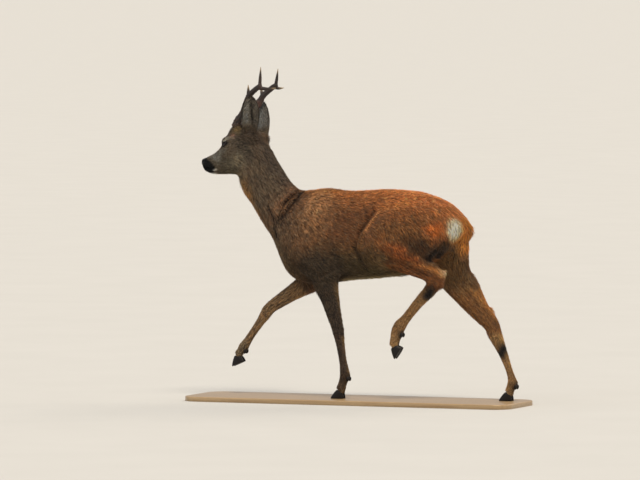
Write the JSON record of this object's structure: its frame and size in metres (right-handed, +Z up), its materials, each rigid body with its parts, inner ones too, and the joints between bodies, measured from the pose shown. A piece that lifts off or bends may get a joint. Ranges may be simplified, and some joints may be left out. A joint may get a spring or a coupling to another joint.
{
  "type": "roe deer",
  "caption": "Life-size standing model of a trotting adult roebuck in its red summer coat with short branched antlers, on a plain flat display base.",
  "frame": {"origin": "centre of the underside of the display base", "axes": "+Z up, the nose towards -X and the tail towards +X, the animal's left side towards -Y"},
  "size_m": [1.16, 0.3, 1.1141],
  "materials": {
    "coat": "matt short red-brown summer fur",
    "face": "matt grey-brown face and ear fur",
    "antler": "rough dark brown antler bone, paler at the tips",
    "hoof": "satin black horn",
    "eye": "wet, near-black",
    "stand": "satin pale painted board"
  },
  "bodies": {
    "root": {"antler_left_back_tine": "antler", "antler_left_beam": "antler", "antler_left_front_tine": "antler", "antler_left_top_tine": "antler", "antler_right_back_tine": "antler", "antler_right_beam": "antler", "antler_right_front_tine": "antler", "antler_right_top_tine": "antler", "ear_left": "face", "ear_right": "face", "eye_left": "eye", "eye_right": "eye", "foreleg_left_claw_1": "hoof", "foreleg_left_claw_2": "hoof", "foreleg_left_dewclaw_1": "hoof", "foreleg_left_dewclaw_2": "hoof", "foreleg_left_lower": "coat", "foreleg_left_middle": "coat", "foreleg_left_upper": "coat", "foreleg_right_claw_1": "hoof", "foreleg_right_claw_2": "hoof", "foreleg_right_dewclaw_1": "hoof", "foreleg_right_dewclaw_2": "hoof", "foreleg_right_lower": "coat", "foreleg_right_middle": "coat", "foreleg_right_upper": "coat", "head": "face", "hindleg_left_claw_1": "hoof", "hindleg_left_claw_2": "hoof", "hindleg_left_dewclaw_1": "hoof", "hindleg_left_dewclaw_2": "hoof", "hindleg_left_lower": "coat", "hindleg_left_middle": "coat", "hindleg_left_upper": "coat", "hindleg_right_claw_1": "hoof", "hindleg_right_claw_2": "hoof", "hindleg_right_dewclaw_1": "hoof", "hindleg_right_dewclaw_2": "hoof", "hindleg_right_lower": "coat", "hindleg_right_middle": "coat", "hindleg_right_upper": "coat", "neck": "coat", "stand_base": "stand", "tail": "coat", "trunk": "coat"}
  },
  "joints": []
}
